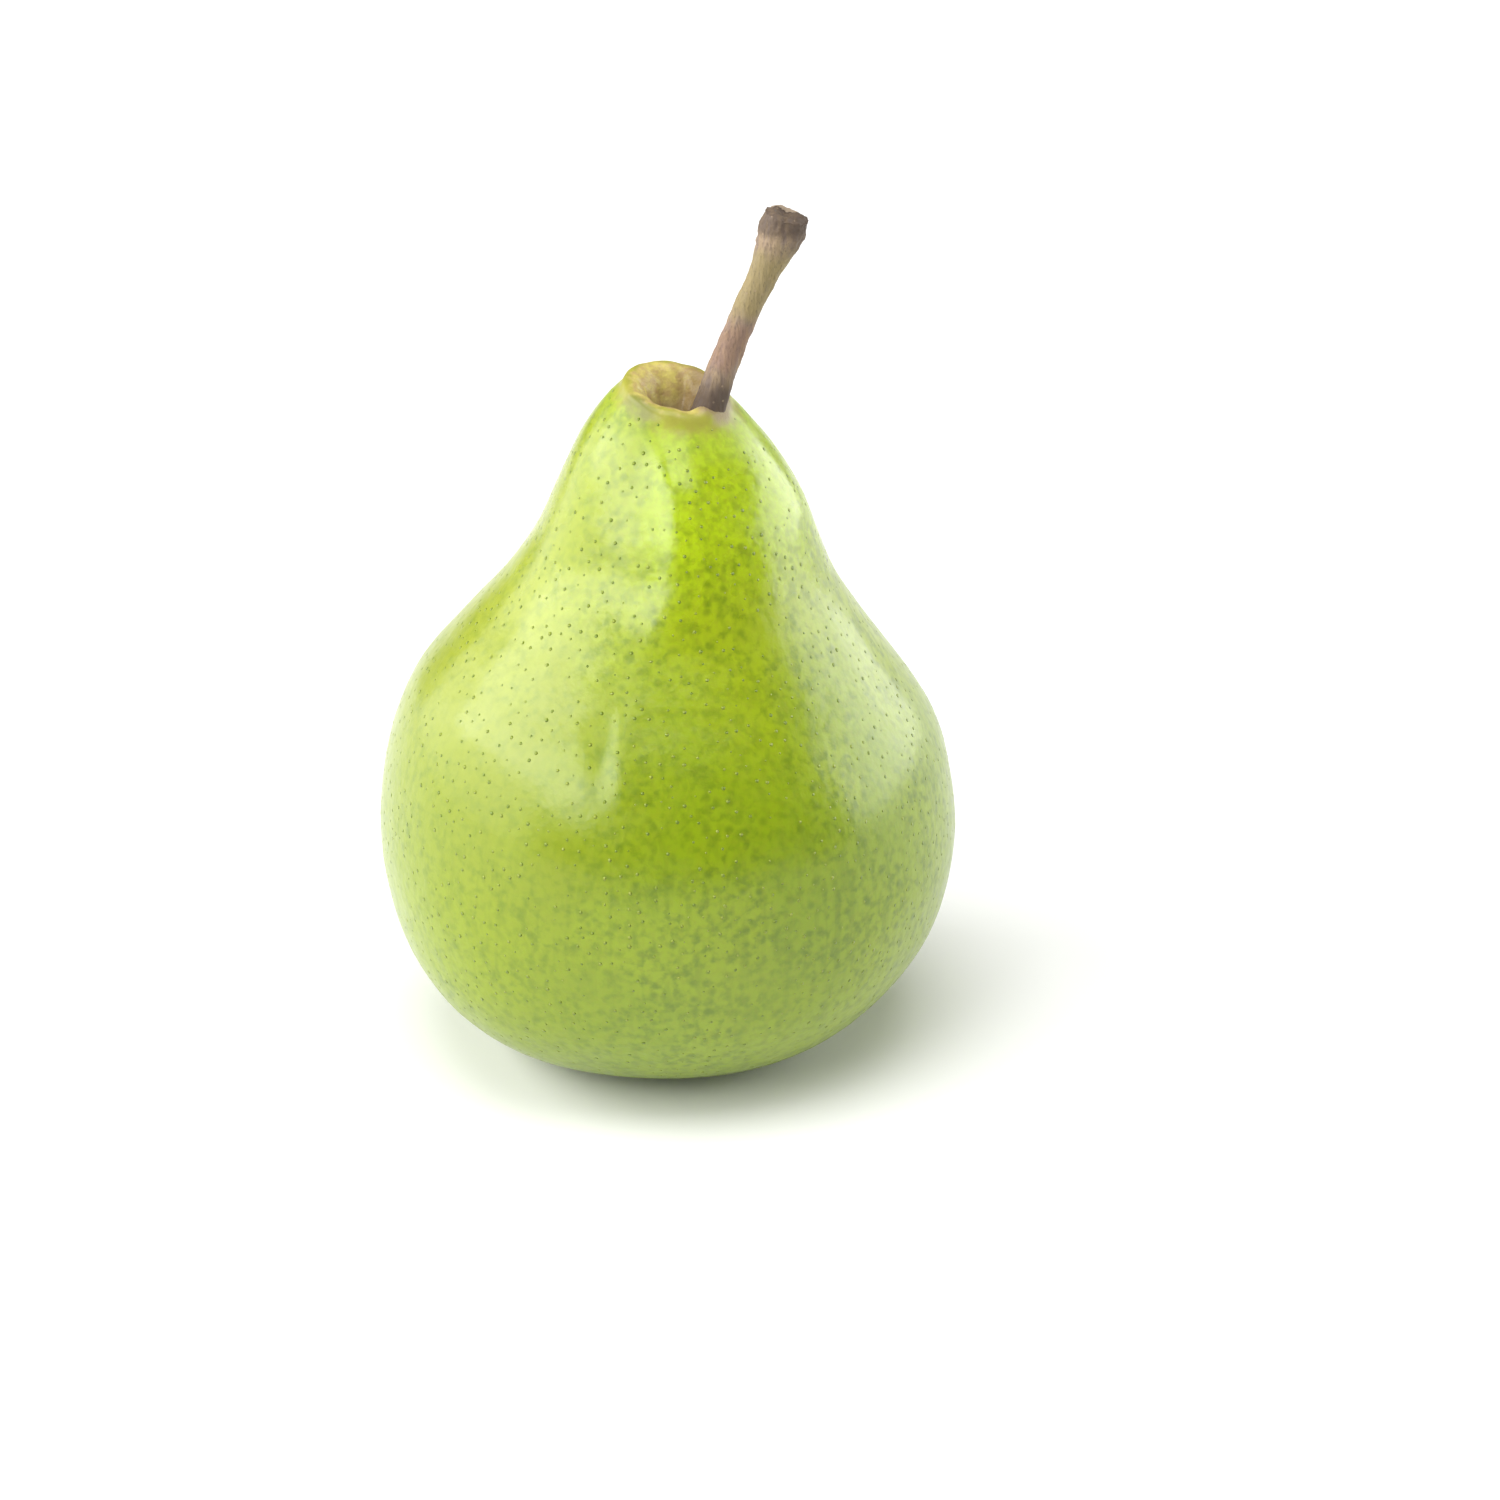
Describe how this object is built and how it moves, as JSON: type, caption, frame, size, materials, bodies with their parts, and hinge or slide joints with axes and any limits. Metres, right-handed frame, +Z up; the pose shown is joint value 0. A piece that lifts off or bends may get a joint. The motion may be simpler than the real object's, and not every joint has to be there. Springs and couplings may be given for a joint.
{
  "type": "pear",
  "caption": "Whole fresh green pear standing on its base, with a woody stem in the hollow at the top and dried sepals and stamens in the basin underneath.",
  "frame": {"origin": "on the surface the pear stands on, under the middle of the fruit's outline as seen from above", "axes": "+Z up, from the calyx end to the stem end; the stem leans towards +X; -Y is the side facing the viewer"},
  "size_m": [0.0702, 0.0706, 0.1045],
  "materials": {
    "fruit_skin": "waxy satin skin, green to yellow-green, with fine dots",
    "stem_bark": "dry matt bark",
    "dried_sepal": "dry matt, brown-black",
    "dried_stamen": "dry matt, brown-black"
  },
  "bodies": {
    "root": {"fruit": "fruit_skin", "stem": "stem_bark", "sepal_1": "dried_sepal", "sepal_2": "dried_sepal", "sepal_3": "dried_sepal", "sepal_4": "dried_sepal", "sepal_5": "dried_sepal", "stamens": "dried_stamen"}
  },
  "joints": []
}
